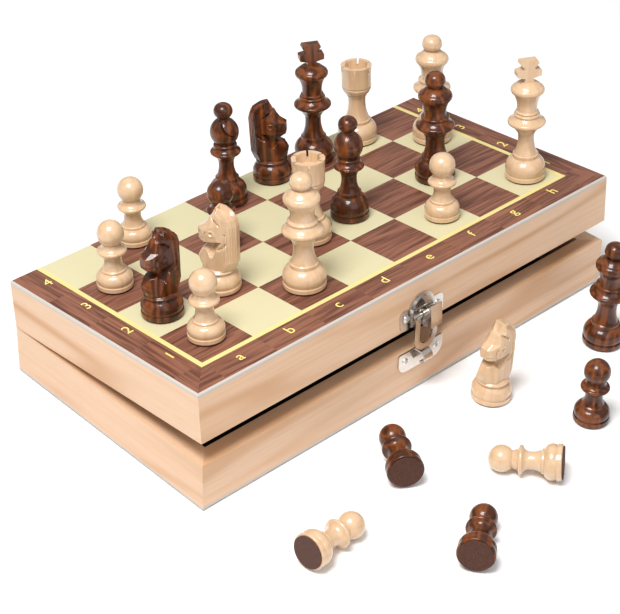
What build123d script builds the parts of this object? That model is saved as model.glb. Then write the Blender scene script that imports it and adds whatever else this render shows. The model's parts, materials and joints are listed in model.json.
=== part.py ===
from build123d import *
import os
from math import asin, atan2, cos, degrees, hypot, radians, sin

os.makedirs("parts", exist_ok=True)

# A folding chess set: two hollow wooden halves, hinged along the middle line of the board,
# that close into a box for the men. Sizes are in millimetres. The origin is in the middle of the
# tray's underside. X runs along the files from a to h, the latch is in front at -Y, the hinges
# are behind at +Y. The lid is modelled closed, then swung open about the hinge axis.

# The board
square = 32.0
border = 18.0
file_count = 8
ranks_on_half = 4

# Each half of the box
half_height = 28.0
wall = 10.0
panel_thickness = 2.5
panel_chamfer = 1.0
lining_thickness = 1.0
lining_gap = 0.2
lid_open = 5.1

# The two butt hinges, let into the rims at the back
hinge_offset = 96.0
leaf_length = 22.0
leaf_width = 8.5
leaf_thickness = 0.9
leaf_gap = 0.05
knuckle_radius = 1.6
knuckle_gap = 0.2
hinge_pin_radius = 0.8
running_gap = 0.05
hinge_screw_spacing = 12.0
hinge_screw_inset = 5.0

# Countersunk wood screws
screw_head_radius = 1.9
screw_head_height = 0.8
screw_shank_radius = 0.8
screw_length = 8.0
screw_tip_length = 1.6
screw_tip_radius = 0.2

# The toggle latch: base plate and lever on the lid, catch plate on the tray
plate_thickness = 0.9
plate_width = 31.0
plate_wing_height = 11.5
plate_height = 17.5
plate_arch_radius = 9.5
plate_edge_gap = 0.7
plate_corner = 3.0
boss_width = 15.0
boss_height = 15.6
boss_rise = 1.1
latch_screw_offset = 11.3
latch_screw_height = 6.6
lever_pivot_out = 6.0
lever_pivot_up = 5.2
lever_pivot_radius = 0.8
lever_half_width = 4.0
lever_sheet = 0.7
lever_front = 11.0
lever_bottom = 2.7
lever_top = 15.4
lever_eye_radius = 2.6
ear_sheet = 0.8
ear_gap = 0.2
ear_radius = 2.0
loop_pivot_out = 4.4
loop_pivot_up = 8.4
loop_pin_radius = 0.8
loop_eye_radius = 1.9
loop_knuckle_radius = 1.4
loop_strip = 3.6
loop_inner_half = 4.65
loop_reach = 19.1
loop_sheet = 0.9
catch_width = 32.0
catch_height = 12.0
catch_edge_gap = 0.3
catch_corner = 5.9
catch_top_corner = 1.2
catch_screw_drop = 5.6
curl_radius = 3.6
curl_sheet = 0.9
curl_width = 6.2
curl_drop = 5.2
curl_out = 3.0

# The men
felt_thickness = 0.8
felt_inset = 1.0
foot_height = 2.4
groove_depth = 0.6
groove_height = 0.5
seat_gap = 0.05
crown_flat = 0.4
king_foot = 11.0
queen_foot = 11.0
bishop_foot = 10.3
knight_foot = 10.6
rook_foot = 11.0
pawn_foot = 9.3
king_height = 69.2
queen_height = 62.7
bishop_height = 57.8
knight_height = 46.5
rook_height = 46.3
pawn_height = 37.2
cross_height = 13.0
cross_arms = 13.4
cross_head = 10.4
cross_thickness = 5.6
mitre_slot = 1.0
rook_crown_radius = 8.7
rook_well_radius = 6.3
rook_well_depth = 5.0
rook_slots = 6
rook_slot_width = 1.1
rook_slot_depth = 3.2
pawn_ball = 6.8
knight_ring = 13.0
knight_blank = 11.8
knight_ear_gap = 2.2

# Sizes that follow from those above
board_length = file_count * square + 2 * border
board_width = ranks_on_half * square + border
hinge_y = board_width / 2
hinge_z = half_height
front_y = -board_width / 2
lid_top = 2 * half_height
hinge_axis = Axis((0, hinge_y, hinge_z), (1, 0, 0))
knuckle_third = (leaf_length - 2 * knuckle_gap) / 3
lining_top = panel_thickness + lining_thickness

nodes = {}


def swing(shape):
    """Turns a piece of the closed lid to the angle at which the lid stands open."""
    return shape.rotate(hinge_axis, -lid_open)


# The box


def mitred_wall(length):
    """A wall with its outer face on the X axis and both ends cut at 45 degrees."""
    outline = Polyline(
        (-length / 2, 0),
        (length / 2, 0),
        (length / 2 - wall, wall),
        (-length / 2 + wall, wall),
        close=True,
    )
    height = half_height - panel_thickness
    return Pos(0, 0, panel_thickness) * extrude(make_face(outline), height)


def hinge_pocket(x):
    """What is let into a back wall for one leaf of a hinge and for its knuckle."""
    side = running_gap
    depth = leaf_thickness + leaf_gap
    pocket = Pos(x, hinge_y - (leaf_width + side) / 2, hinge_z) * Box(
        leaf_length + 2 * side, leaf_width + side, 2 * depth
    )
    relief = knuckle_radius + knuckle_gap
    turn = Pos(x, hinge_y, hinge_z) * Rot(0, 90, 0) * Cylinder(relief, leaf_length + 2 * side)
    return pocket + turn


def half_box():
    """The walls, printed panel and lining of one half, lying with its print down."""
    panel = Box(board_length, board_width, panel_thickness, align=(Align.CENTER, Align.CENTER, Align.MIN))
    panel = chamfer(panel.faces().sort_by(Axis.Z)[0].edges(), panel_chamfer)
    inner_length = board_length - 2 * wall - 2 * lining_gap
    inner_width = board_width - 2 * wall - 2 * lining_gap
    lining = Box(inner_length, inner_width, lining_thickness, align=(Align.CENTER, Align.CENTER, Align.MIN))
    back = Pos(0, board_width / 2, 0) * Rot(0, 0, 180) * mitred_wall(board_length)
    for x in (-hinge_offset, hinge_offset):
        back -= hinge_pocket(x)
    return {
        "front_wall": Pos(0, front_y, 0) * mitred_wall(board_length),
        "back_wall": back,
        "left_wall": Pos(-board_length / 2, 0, 0) * Rot(0, 0, -90) * mitred_wall(board_width),
        "right_wall": Pos(board_length / 2, 0, 0) * Rot(0, 0, 90) * mitred_wall(board_width),
        "board_panel": panel,
        "lining": Pos(0, 0, panel_thickness) * lining,
    }


def upside(shape):
    """Mirrors a piece of the tray to its place in the closed lid."""
    return shape.mirror(Plane.XY.offset(half_height))


# Screws and hinges


class Turning:
    """Half the outline of a turned piece, followed from its foot up, then spun about the Z axis."""

    def __init__(self, radius, height):
        self.edges = []
        self.start = (radius, 0, height)
        self.at = self.start

    def line(self, radius, height):
        end = (radius, 0, height)
        self.edges.append(Edge.make_line(self.at, end))
        self.at = end

    def arc(self, radius, height, bulge):
        """An arc to the next point that swells outward by bulge, or hollows if that is negative."""
        across = radius - self.at[0]
        up = height - self.at[2]
        span = hypot(across, up)
        middle = (
            (radius + self.at[0]) / 2 + bulge * up / span,
            0,
            (height + self.at[2]) / 2 - bulge * across / span,
        )
        end = (radius, 0, height)
        self.edges.append(Edge.make_three_point_arc(self.at, middle, end))
        self.at = end

    def spin(self):
        """Closes the outline on the axis and turns it into a solid."""
        top = (0, 0, self.at[2])
        bottom = (0, 0, self.start[2])
        edges = list(self.edges)
        if self.at[0] > 0:
            edges.append(Edge.make_line(self.at, top))
        edges.append(Edge.make_line(top, bottom))
        edges.append(Edge.make_line(bottom, self.start))
        return revolve(Face(Wire(edges)), axis=Axis.Z)


def screw():
    """A countersunk screw with its head's face at the origin and its point down."""
    cut = Turning(screw_tip_radius, -screw_length)
    cut.line(screw_shank_radius, -screw_length + screw_tip_length)
    cut.line(screw_shank_radius, -screw_head_height)
    cut.line(screw_head_radius, 0)
    return cut.spin()


def hinge_screws(x):
    """Two screws down into the tray's back rim through one leaf."""
    head = hinge_z - leaf_gap - running_gap
    pair = []
    for side in (-1, 1):
        place = Pos(x + side * hinge_screw_spacing / 2, hinge_y - hinge_screw_inset, head)
        pair.append(place * screw())
    return pair


def knuckle(x, count_from_left, bore):
    """One of the three barrels of a hinge, with its bore."""
    start = x - leaf_length / 2 + count_from_left * (knuckle_third + knuckle_gap)
    barrel = Cylinder(knuckle_radius, knuckle_third) - Cylinder(bore, knuckle_third)
    return Pos(start + knuckle_third / 2, hinge_y, hinge_z) * Rot(0, 90, 0) * barrel


def tray_leaf(x):
    """The lower leaf: a plate in the tray's rim with a barrel at each end."""
    plate_z = hinge_z - leaf_gap - leaf_thickness / 2
    plate = Pos(x, hinge_y - leaf_width / 2, plate_z) * Box(leaf_length, leaf_width, leaf_thickness)
    notch = knuckle_radius + knuckle_gap
    plate -= Pos(x, hinge_y, plate_z) * Box(
        knuckle_third + 2 * knuckle_gap, 2 * notch, 2 * leaf_thickness
    )
    plate -= Pos(x, hinge_y, hinge_z) * Rot(0, 90, 0) * Cylinder(hinge_pin_radius, leaf_length)
    leaf = plate + knuckle(x, 0, hinge_pin_radius) + knuckle(x, 2, hinge_pin_radius)
    for one in hinge_screws(x):
        leaf -= one
    return leaf


def lid_leaf(x):
    """The upper leaf, on the closed lid: a plate in the lid's rim with the middle barrel."""
    plate_z = hinge_z + leaf_gap + leaf_thickness / 2
    bore = hinge_pin_radius + running_gap
    plate = Pos(x, hinge_y - leaf_width / 2, plate_z) * Box(leaf_length, leaf_width, leaf_thickness)
    notch = knuckle_radius + knuckle_gap
    for side in (-1, 1):
        away = side * (knuckle_third + knuckle_gap)
        plate -= Pos(x + away, hinge_y, plate_z) * Box(
            knuckle_third + 2 * knuckle_gap, 2 * notch, 2 * leaf_thickness
        )
    plate -= Pos(x, hinge_y, hinge_z) * Rot(0, 90, 0) * Cylinder(bore, leaf_length)
    leaf = plate + knuckle(x, 1, bore)
    for one in hinge_screws(x):
        leaf -= upside(one)
    return leaf


# The latch, drawn as (out of the wall, up from the lid's lower edge)


def plate_outline(width, height, radius):
    """A face in X and Z, standing on the X axis, with an arched top."""
    arch = Pos(0, height - radius) * Circle(radius)
    body = Pos(0, (height - radius) / 2) * Rectangle(min(width, 2 * radius), height - radius)
    above = Pos(0, height) * Rectangle(2 * width, 2 * height)
    return (arch + body) & above


def stand(sketch, out, thickness):
    """Extrudes a sketch drawn in (X, up) from the front wall outward."""
    raised = extrude(sketch, thickness)
    return Pos(0, front_y - out, 0) * Rot(90, 0, 0) * raised


def cross_pin(radius, half_length, out, up):
    """A pin along X in front of the wall."""
    return Pos(0, front_y - out, up) * Rot(0, 90, 0) * Cylinder(radius, 2 * half_length)


def latch_screws():
    """The two screws of the base plate, driven into the lid's front wall."""
    up = hinge_z + plate_edge_gap + latch_screw_height
    return [
        Pos(side * latch_screw_offset, front_y - plate_thickness, up) * Rot(90, 0, 0) * screw()
        for side in (-1, 1)
    ]


def catch_screws():
    """The two screws of the catch plate, driven into the tray's front wall."""
    up = hinge_z - catch_screw_drop
    return [
        Pos(side * latch_screw_offset, front_y - plate_thickness, up) * Rot(90, 0, 0) * screw()
        for side in (-1, 1)
    ]


def sideways(sketch, x, thickness):
    """Extrudes a sketch drawn in (out of the wall, up from the seam) from x towards -X."""
    section = Plane(origin=(x, front_y, hinge_z), x_dir=(0, -1, 0), z_dir=(-1, 0, 0))
    return section.location * extrude(sketch, thickness)


def side_sheet(sketch, inner, thickness):
    """Extrudes a sketch drawn in (out, up) into the two matching sheets beside the lever."""
    right = sideways(sketch, inner + thickness, thickness)
    return right, right.mirror(Plane.YZ)


def latch_plate():
    """The stamped base plate: two wings, an arched top, a pressed boss and two ears."""
    wings = RectangleRounded(plate_width, plate_wing_height, plate_corner)
    flat = Pos(0, plate_wing_height / 2) * wings
    flat += plate_outline(plate_width, plate_height, plate_arch_radius)
    foot = hinge_z + plate_edge_gap
    plate = Pos(0, 0, foot) * stand(flat, 0, plate_thickness)
    boss = plate_outline(boss_width, boss_height, boss_width / 2)
    plate += Pos(0, 0, foot) * stand(boss, plate_thickness, boss_rise)
    eye = Pos(lever_pivot_out, lever_pivot_up) * Circle(ear_radius)
    strap = Pos(lever_pivot_out / 2, lever_pivot_up) * Rectangle(lever_pivot_out, 2 * ear_radius)
    ear_inner = lever_half_width - lever_sheet - ear_gap - ear_sheet
    for ear in side_sheet(eye + strap, ear_inner, ear_sheet):
        plate += ear
    plate -= Pos(0, front_y + lever_pivot_out, hinge_z + lever_pivot_up) * Box(
        plate_width, 2 * lever_pivot_out, 4 * ear_radius
    )
    plate -= cross_pin(lever_pivot_radius, lever_half_width, lever_pivot_out, hinge_z + lever_pivot_up)
    for one in latch_screws():
        plate -= one
    return plate


def latch_lever():
    """The folded lever: two cheeks from the pivot to a front plate that a finger pulls."""
    eyes = [
        Pos(lever_pivot_out, lever_pivot_up) * Circle(lever_eye_radius),
        Pos(loop_pivot_out, loop_pivot_up) * Circle(loop_eye_radius),
    ]
    front_edge = Line((lever_front, lever_bottom), (lever_front, lever_top))
    cheek = make_hull([edge for eye in eyes for edge in eye.edges()] + [front_edge])
    right, left = side_sheet(cheek, lever_half_width - lever_sheet, lever_sheet)
    middle = (lever_bottom + lever_top) / 2
    web = Pos(0, front_y - lever_front + lever_sheet / 2, hinge_z + middle) * Box(
        2 * lever_half_width, lever_sheet, lever_top - lever_bottom
    )
    lever = right + left + web
    bore = lever_pivot_radius + running_gap
    lever -= cross_pin(bore, lever_half_width, lever_pivot_out, hinge_z + lever_pivot_up)
    bore = loop_pin_radius + running_gap
    lever -= cross_pin(bore, lever_half_width, loop_pivot_out, hinge_z + loop_pivot_up)
    return lever


def latch_loop():
    """The U of flat strip that reaches down to the catch, with a barrel at each end."""
    outer_half = loop_inner_half + loop_strip
    turn = -loop_reach + loop_inner_half
    outer = Pos(0, turn) * Circle(outer_half) + Pos(0, turn / 2) * Rectangle(2 * outer_half, -turn)
    inner = Pos(0, turn) * Circle(loop_inner_half) + Pos(0, turn / 2) * Rectangle(
        2 * loop_inner_half, -turn + 2 * loop_knuckle_radius
    )
    above = Pos(0, outer_half) * Rectangle(2 * outer_half, 2 * outer_half)
    strip = outer - inner - above
    loop = Pos(0, 0, hinge_z + loop_pivot_up) * stand(strip, loop_pivot_out - loop_sheet / 2, loop_sheet)
    for side in (-1, 1):
        x = side * (loop_inner_half + loop_strip / 2)
        loop += Pos(x, 0, 0) * cross_pin(
            loop_knuckle_radius, loop_strip / 2, loop_pivot_out, hinge_z + loop_pivot_up
        )
    bore = loop_pin_radius + running_gap
    return loop - cross_pin(bore, outer_half, loop_pivot_out, hinge_z + loop_pivot_up)


def catch_plate():
    """The plate on the tray, with the tongue curled out of it that the loop pulls up against."""
    sheet = RectangleRounded(catch_width, catch_height, catch_corner)
    top_half = Pos(0, catch_height / 4) * RectangleRounded(catch_width, catch_height / 2, catch_top_corner)
    plate = Pos(0, 0, hinge_z - catch_edge_gap - catch_height / 2) * stand(
        sheet + top_half, 0, plate_thickness
    )
    centre = (curl_out, -curl_drop)
    ring = Circle(curl_radius) - Circle(curl_radius - curl_sheet)
    behind = Pos(-curl_radius, 0) * Rectangle(2 * curl_radius, 4 * curl_radius)
    root = Pos(-curl_out / 2, curl_radius - curl_sheet / 2) * Rectangle(curl_out, curl_sheet)
    tongue = Pos(*centre) * (ring - behind + root)
    plate += sideways(tongue, curl_width / 2, curl_width)
    for one in catch_screws():
        plate -= one
    return plate


# The men. Each stands on the origin, felt down, and looks along -Y.


def foot(radius, shoulder_radius, shoulder_height, swell):
    """The foot ring, its groove and the swelling above, up to the step ring's lower edge."""
    cut = Turning(radius - 0.5, felt_thickness)
    cut.arc(radius, felt_thickness + 0.6, 0.12)
    cut.line(radius, felt_thickness + foot_height)
    cut.line(radius - groove_depth, felt_thickness + foot_height + 0.2)
    cut.line(radius - groove_depth, felt_thickness + foot_height + groove_height)
    cut.arc(shoulder_radius, shoulder_height, swell)
    return cut


def stem(cut, step_height, neck_radius, neck_height):
    """The step ring over the swelling and the hollow stem that narrows to the neck."""
    ring = cut.at[0]
    base = cut.at[2]
    cut.line(ring, base + step_height)
    cut.line(ring - 0.7, base + step_height + 0.5)
    cut.arc(neck_radius, neck_height, -0.06 * (neck_height - base))


def collar(cut, radius, low, high, top_radius, top_height):
    """A flared disc with a rounded rim, and the slope from it to the next ring."""
    cut.arc(radius - 0.5, low, -0.5)
    cut.arc(radius - 0.4, high, 0.55)
    cut.arc(top_radius, top_height, -0.35)


def bead(cut, height, swell):
    """A small rounded ring of the given height, as wide as the outline is where it starts."""
    cut.arc(cut.at[0], cut.at[2] + height, swell)


def with_felt(wood, radius):
    """Adds the felt pad under a man."""
    pad = Cylinder(radius - felt_inset, felt_thickness, align=(Align.CENTER, Align.CENTER, Align.MIN))
    return Compound([solid for part in (wood, pad) for solid in part.solids()])


def king():
    """Tall stem, wide collar, flared crown and a chunky cross on top."""
    cut = foot(king_foot, 7.0, 12.6, 1.9)
    top = king_height
    stem(cut, 1.8, 4.5, top - 42.7)
    collar(cut, 10.2, top - 36.8, top - 34.8, 6.6, top - 32.2)
    bead(cut, 1.5, 0.5)
    cut.line(5.9, top - 30.4)
    bead(cut, 1.2, 0.45)
    cut.line(5.5, top - 28.9)
    cut.arc(7.9, top - 19.0, -0.9)
    cut.arc(7.7, top - 15.0, 1.3)
    cut.arc(2.6, top - 12.0, 0.5)
    wood = cut.spin()
    base = top - cross_height
    waist, arm, head = 2.3, cross_arms / 2, cross_head / 2
    right = [
        (2.8, base),
        (waist, base + 3.2),
        (arm, base + 4.2),
        (arm + 0.1, base + 7.4),
        (waist, base + 8.4),
        (head, base + 11.4),
        (head - 0.6, top),
    ]
    left = [(-out, up) for out, up in reversed(right)]
    outline = Polyline(*right, *left, close=True)
    cross = Rot(90, 0, 0) * extrude(make_face(outline), cross_thickness / 2, both=True)
    cross = fillet(cross.edges().filter_by(Axis.Y), 0.5)
    return with_felt(wood + cross, king_foot)


def queen():
    """Thick stem, wide collar, rounded coronet and a flattened ball on top."""
    cut = foot(queen_foot, 7.4, 12.2, 1.9)
    top = queen_height
    stem(cut, 1.8, 5.4, top - 37.2)
    collar(cut, 10.4, top - 31.7, top - 29.5, 7.2, top - 26.5)
    bead(cut, 1.6, 0.5)
    cut.line(6.2, top - 24.5)
    cut.arc(8.1, top - 15.7, -0.9)
    cut.arc(7.4, top - 10.9, 1.5)
    cut.arc(3.5, top - 8.1, 0.3)
    cut.line(3.5, top - 7.7)
    cut.arc(5.4, top - 3.9, 0.9)
    cut.arc(crown_flat, top, 1.5)
    return with_felt(cut.spin(), queen_foot)


def bishop():
    """Slender stem, small collar and a mitre with a slanting cut and a ball."""
    cut = foot(bishop_foot, 6.3, 13.4, 1.9)
    top = bishop_height
    stem(cut, 1.8, 4.2, top - 33.1)
    collar(cut, 8.1, top - 28.6, top - 26.8, 5.6, top - 24.6)
    bead(cut, 1.8, 0.7)
    cut.line(5.0, top - 22.4)
    cut.arc(3.1, top - 8.8, 3.6)
    cut.arc(3.1, top - 7.8, -0.2)
    cut.arc(crown_flat, top, 3.3)
    wood = cut.spin()
    mitre_cut = Pos(0, -4.6, top - 13.3) * Rot(-38, 0, 0) * Box(16.0, mitre_slot, 9.0)
    return with_felt(wood - mitre_cut, bishop_foot)


def rook():
    """Stout tower with a hollowed, slotted crown."""
    cut = foot(rook_foot, 7.6, 12.0, 1.9)
    top = rook_height
    stem(cut, 1.6, 5.1, top - 18.8)
    cut.arc(5.6, top - 17.3, 0.3)
    cut.arc(8.2, top - 13.3, 0.5)
    cut.line(7.9, top - 12.7)
    cut.line(8.4, top - 11.9)
    cut.arc(rook_crown_radius, top, -0.2)
    wood = cut.spin()
    well = Cone(rook_well_radius - 0.8, rook_well_radius, rook_well_depth)
    wood -= Pos(0, 0, top - rook_well_depth / 2) * well
    slot = Box(rook_foot, rook_slot_width, rook_slot_depth)
    for count in range(rook_slots):
        turn = Rot(0, 0, 360 / rook_slots * (count + 0.5))
        wood -= turn * Pos(rook_foot / 2, 0, top - rook_slot_depth / 2) * slot
    return with_felt(wood, rook_foot)


def pawn():
    """Short stem, rounded collar and a ball head."""
    cut = foot(pawn_foot, 6.4, 9.6, 1.5)
    top = pawn_height
    stem(cut, 1.0, 4.5, top - 20.0)
    collar(cut, 7.4, top - 17.2, top - 15.3, 5.0, top - 13.6)
    neck = 4.4
    cut.line(neck, top - pawn_ball - (pawn_ball**2 - neck**2) ** 0.5)
    cut.arc(crown_flat, top, 4.3)
    return with_felt(cut.spin(), pawn_foot)


def carved(*points):
    """Points of the knight's template, (towards the nose, above the ring), at the real height."""
    stretch = (knight_height - knight_ring) / 33.5
    return [(out, knight_ring + up * stretch) for out, up in points]


def knight():
    """Turned foot with a horse's head carved from a flat blank, its nose towards -Y."""
    cut = foot(knight_foot, 8.0, 10.4, 1.3)
    cut.line(7.7, knight_ring - 2.0)
    bead(cut, 1.9, 0.9)
    cut.line(7.2, knight_ring + 0.3)
    wood = cut.spin()
    nape = Spline(
        *carved((-8.3, 0), (-10.4, 4.5), (-10.9, 16.0), (-10.6, 25.0), (-7.6, 30.4), (-0.8, 33.5))
    )
    blaze = Polyline(
        *carved(
            (-0.8, 33.5), (1.2, 28.8), (2.8, 28.4), (5.0, 23.8),
            (9.2, 21.6), (9.8, 20.0), (9.6, 16.8),
        )
    )
    jaw = Polyline(
        *carved(
            (9.6, 16.8), (8.7, 15.2), (5.4, 12.9), (2.6, 11.8),
            (5.4, 11.3), (9.6, 5.9), (9.2, 3.2), (7.8, 0),
        )
    )
    closing = Line(*carved((7.8, 0), (-8.3, 0)))
    outline = make_face([*nape.edges(), *blaze.edges(), *jaw.edges(), *closing.edges()])
    blank = Rot(0, 0, -90) * Rot(90, 0, 0) * extrude(outline, knight_blank, both=True)
    half = knight_blank / 2
    side = carved(
        (half, -0.5), (half - 0.2, 11.0), (half - 1.3, 23.0), (half - 2.0, 28.0), (half - 1.8, 33.8)
    )
    front = Polyline(*side, *[(-out, up) for out, up in reversed(side)], close=True)
    shape = Rot(90, 0, 0) * extrude(make_face(front), 12.0, both=True)
    head = blank & shape
    cheek = Box(4.0, 16.0, 18.0)
    for hand in (-1, 1):
        head -= Pos(hand * 6.6, -9.0, knight_ring + 14.5) * Rot(0, 0, hand * 16) * cheek
    head -= Pos(0, 0.6, knight_height - 0.9) * Box(knight_ear_gap, 6.0, 4.0)
    return with_felt(wood + head, knight_foot)


# Where each man stands, as (file, rank) in squares from the board's a1 corner, and its turn

light_on_board = {
    "light_king": (king, 7.58, 0.42, -30),
    "light_queen_1": (queen, 2.53, 0.51, 0),
    "light_queen_2": (queen, 7.54, 2.56, 0),
    "light_rook_1": (rook, 6.62, 3.50, 8),
    "light_rook_2": (rook, 3.62, 1.53, 20),
    "light_knight_1": (knight, 1.59, 1.42, -155),
    "light_pawn_1": (pawn, 0.51, 0.49, 0),
    "light_pawn_2": (pawn, 0.48, 2.64, 0),
    "light_pawn_3": (pawn, 1.58, 3.53, 0),
    "light_pawn_4": (pawn, 5.59, 0.48, 0),
}
dark_on_board = {
    "dark_king": (king, 5.60, 3.54, -30),
    "dark_queen_1": (queen, 6.50, 1.50, 0),
    "dark_bishop_1": (bishop, 3.53, 3.45, 10),
    "dark_bishop_2": (bishop, 4.57, 1.60, 150),
    "dark_knight_1": (knight, 0.48, 1.48, -95),
    "dark_knight_2": (knight, 4.60, 3.53, 42),
    "dark_pawn_1": (pawn, 2.49, 2.39, 0),
}

# Where each man on the floor stands, in millimetres from the origin, and its turn
standing = {
    "light_knight_2": (knight, 23.4, -103.6, -92),
    "dark_queen_2": (queen, 104.5, -111.2, 0),
    "dark_pawn_2": (pawn, 47.7, -150.1, 0),
}

# Where each man that has fallen on the floor lies: its middle, and the way from head to foot
fallen = {
    "light_pawn_5": (pawn, -120.6, -132.8, -176),
    "light_pawn_6": (pawn, -7.4, -158.2, -54),
    "dark_pawn_3": (pawn, -53.3, -112.0, -123),
    "dark_pawn_4": (pawn, -67.3, -177.9, -145),
    "dark_rook_1": (rook, 16.0, -214.0, 20),
}

# The men still in the tray, laid in one row from the left along the back
stored = {
    "light_bishop_1": bishop,
    "light_bishop_2": bishop,
    "light_pawn_7": pawn,
    "light_pawn_8": pawn,
    "dark_rook_2": rook,
    "dark_pawn_5": pawn,
    "dark_pawn_6": pawn,
    "dark_pawn_7": pawn,
    "dark_pawn_8": pawn,
}
stored_pitch = 26.0
stored_back_gap = 3.0

# For a man lying down: its foot's radius, and the radius and height of what else touches
rests_on = {
    pawn: (pawn_foot, pawn_ball, pawn_height - pawn_ball),
    bishop: (bishop_foot, 6.6, bishop_height - 15.8),
    rook: (rook_foot, rook_crown_radius, rook_height),
}


def lie(make, x, y, heading, floor):
    """Lays a man on its foot ring and its head, foot towards heading, on a floor."""
    radius, head_radius, head_height = rests_on[make]
    along = head_height - (felt_thickness + foot_height)
    reach = hypot(along, radius)
    tilt = degrees(atan2(radius, along) - asin(head_radius / reach))
    if make is rook:
        tilt = degrees(atan2(radius - head_radius, along))
    middle = Pos(0, 0, -head_height / 2) * make()
    lying = Rot(0, 0, heading) * Rot(0, -90 - tilt, 0) * middle
    lowest = lying.bounding_box().min.Z
    return Pos(x, y, floor - lowest) * lying


def build_box():
    """Both halves with their hinges."""
    tray_screws = [one for x in (-hinge_offset, hinge_offset) for one in hinge_screws(x)]
    for name, shape in half_box().items():
        lid_shape = upside(shape)
        if name in ("back_wall", "front_wall"):
            for one in tray_screws + catch_screws():
                shape -= one
            for one in [upside(each) for each in tray_screws] + latch_screws():
                lid_shape -= one
        nodes["tray_" + name] = shape
        nodes["lid_" + name] = swing(lid_shape)
    pins = []
    for side, x in (("left", -hinge_offset), ("right", hinge_offset)):
        nodes[side + "_hinge_tray_leaf"] = tray_leaf(x)
        nodes[side + "_hinge_lid_leaf"] = swing(lid_leaf(x))
        pin = Pos(x, hinge_y, hinge_z) * Rot(0, 90, 0) * Cylinder(hinge_pin_radius, leaf_length)
        pins.append(pin)
    nodes["hinge_pins"] = Compound([solid for pin in pins for solid in pin.solids()])
    on_tray = tray_screws + catch_screws()
    on_lid = [upside(one) for one in tray_screws] + latch_screws()
    nodes["tray_screws"] = Compound([solid for one in on_tray for solid in one.solids()])
    nodes["lid_screws"] = swing(Compound([solid for one in on_lid for solid in one.solids()]))


def build_latch():
    """The latch's pieces. The loop hangs straight down although the lid stands open."""
    nodes["latch_plate"] = swing(latch_plate())
    nodes["latch_lever"] = swing(latch_lever())
    nodes["latch_lever_pin"] = swing(
        cross_pin(
            lever_pivot_radius,
            lever_half_width + ear_gap,
            lever_pivot_out,
            hinge_z + lever_pivot_up,
        )
    )
    up = hinge_z + loop_pivot_up
    nodes["latch_loop_pin"] = swing(
        cross_pin(loop_pin_radius, loop_inner_half + loop_strip, loop_pivot_out, up)
    )
    arm = (front_y - loop_pivot_out - hinge_y, loop_pivot_up)
    turned = (
        arm[0] * cos(radians(lid_open)) + arm[1] * sin(radians(lid_open)),
        -arm[0] * sin(radians(lid_open)) + arm[1] * cos(radians(lid_open)),
    )
    nodes["latch_loop"] = Pos(0, turned[0] - arm[0], turned[1] - arm[1]) * latch_loop()
    nodes["catch_plate"] = catch_plate()


def build_men():
    """All the men: on the lid, on the floor, fallen over, and still in the tray."""
    left = -board_length / 2 + border
    near = front_y + border
    for name, (make, file, rank, turn) in (light_on_board | dark_on_board).items():
        place = Pos(left + file * square, near + rank * square, lid_top + seat_gap)
        nodes[name] = swing(place * Rot(0, 0, turn) * make())
    for name, (make, x, y, turn) in standing.items():
        nodes[name] = Pos(x, y, 0) * Rot(0, 0, turn) * make()
    for name, (make, x, y, heading) in fallen.items():
        nodes[name] = lie(make, x, y, heading, 0)
    for count, (name, make) in enumerate(stored.items()):
        x = (count - (len(stored) - 1) / 2) * stored_pitch
        lying = lie(make, x, 0, 90, lining_top + seat_gap)
        y = board_width / 2 - wall - stored_back_gap - lying.bounding_box().max.Y
        nodes[name] = Pos(0, y, 0) * lying


build_box()
build_latch()
build_men()
for name, shape in nodes.items():
    export_step(shape, f"parts/{name}.step")
print(len(nodes), "nodes")
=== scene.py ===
import json
import logging
import math
from dataclasses import dataclass, field
from enum import Enum

import bmesh
import bpy
import numpy as np
from mathutils import Matrix, Vector

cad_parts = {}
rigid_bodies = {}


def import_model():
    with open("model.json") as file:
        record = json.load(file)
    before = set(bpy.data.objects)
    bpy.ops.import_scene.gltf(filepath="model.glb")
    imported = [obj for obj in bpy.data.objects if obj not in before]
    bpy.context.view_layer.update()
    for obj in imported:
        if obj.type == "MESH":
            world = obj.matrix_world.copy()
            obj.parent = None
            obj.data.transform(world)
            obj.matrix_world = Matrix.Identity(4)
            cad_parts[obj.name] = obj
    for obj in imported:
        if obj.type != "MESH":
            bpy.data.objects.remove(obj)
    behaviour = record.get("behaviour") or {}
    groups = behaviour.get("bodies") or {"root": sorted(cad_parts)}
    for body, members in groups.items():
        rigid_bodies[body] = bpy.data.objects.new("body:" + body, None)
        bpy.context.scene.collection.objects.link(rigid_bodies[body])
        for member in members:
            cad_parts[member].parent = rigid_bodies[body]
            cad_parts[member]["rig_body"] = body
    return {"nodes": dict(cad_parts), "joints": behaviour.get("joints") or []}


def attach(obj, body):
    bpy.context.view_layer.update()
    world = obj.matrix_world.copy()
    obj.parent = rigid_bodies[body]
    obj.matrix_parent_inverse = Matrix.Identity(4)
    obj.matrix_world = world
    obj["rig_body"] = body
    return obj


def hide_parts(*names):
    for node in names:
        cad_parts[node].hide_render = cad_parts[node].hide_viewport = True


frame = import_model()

log = logging.getLogger("chess_set")

HINGE = Vector((0.0, 0.073, 0.028))
LID_OPEN = math.radians(5.1)
SQUARE = 0.032
PLAY_LEFT = -0.128
PLAY_NEAR = -0.055
SHUT_HEIGHT = 0.056
LID_REST_GAP = 0.00005
MM_PER_METRE = 1000.0
LID_TURN = (
    Matrix.Translation(HINGE) @ Matrix.Rotation(-LID_OPEN, 4, "X") @ Matrix.Translation(-HINGE)
)
Colour = tuple[float, float, float]


class Half(Enum):
    """The two halves of the box, by the body each rides on."""

    TRAY = "tray"
    LID = "lid"


class Run(Enum):
    """The way a wall's grain runs."""

    FILES = "along_x"
    RANKS = "along_y"


class Stain(Enum):
    """The two colours of men."""

    LIGHT = "light"
    DARK = "dark"


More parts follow.
